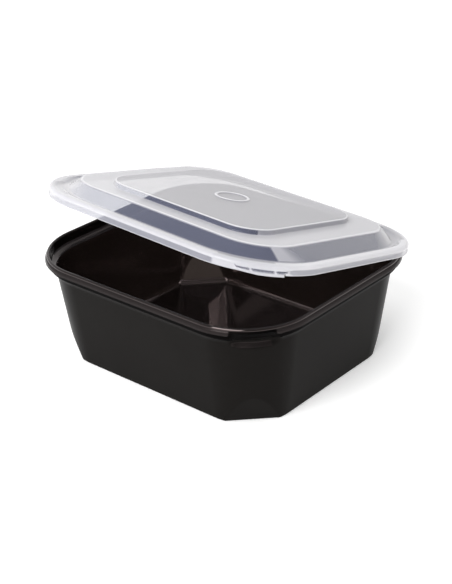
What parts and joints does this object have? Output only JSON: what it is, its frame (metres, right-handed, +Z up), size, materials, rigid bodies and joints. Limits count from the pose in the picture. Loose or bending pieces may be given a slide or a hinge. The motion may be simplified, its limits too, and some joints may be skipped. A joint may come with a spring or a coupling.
{
  "type": "takeaway meal container",
  "caption": "Black moulded rectangular food tub with an octagonal base, a rolled rim and a finger recess, its translucent stepped lid leaning open on one long rim.",
  "frame": {"origin": "middle of the tub's flat underside", "axes": "+X along the long side, +Z up out of the tub, the lid leans on the rim on the +Y side"},
  "size_m": [0.1347, 0.1184, 0.079],
  "materials": {
    "black_polypropylene": "moulded, semi-gloss",
    "natural_polypropylene": "moulded, milky and see-through"
  },
  "bodies": {
    "root": {"tub": "black_polypropylene", "lid": "natural_polypropylene"}
  },
  "joints": []
}
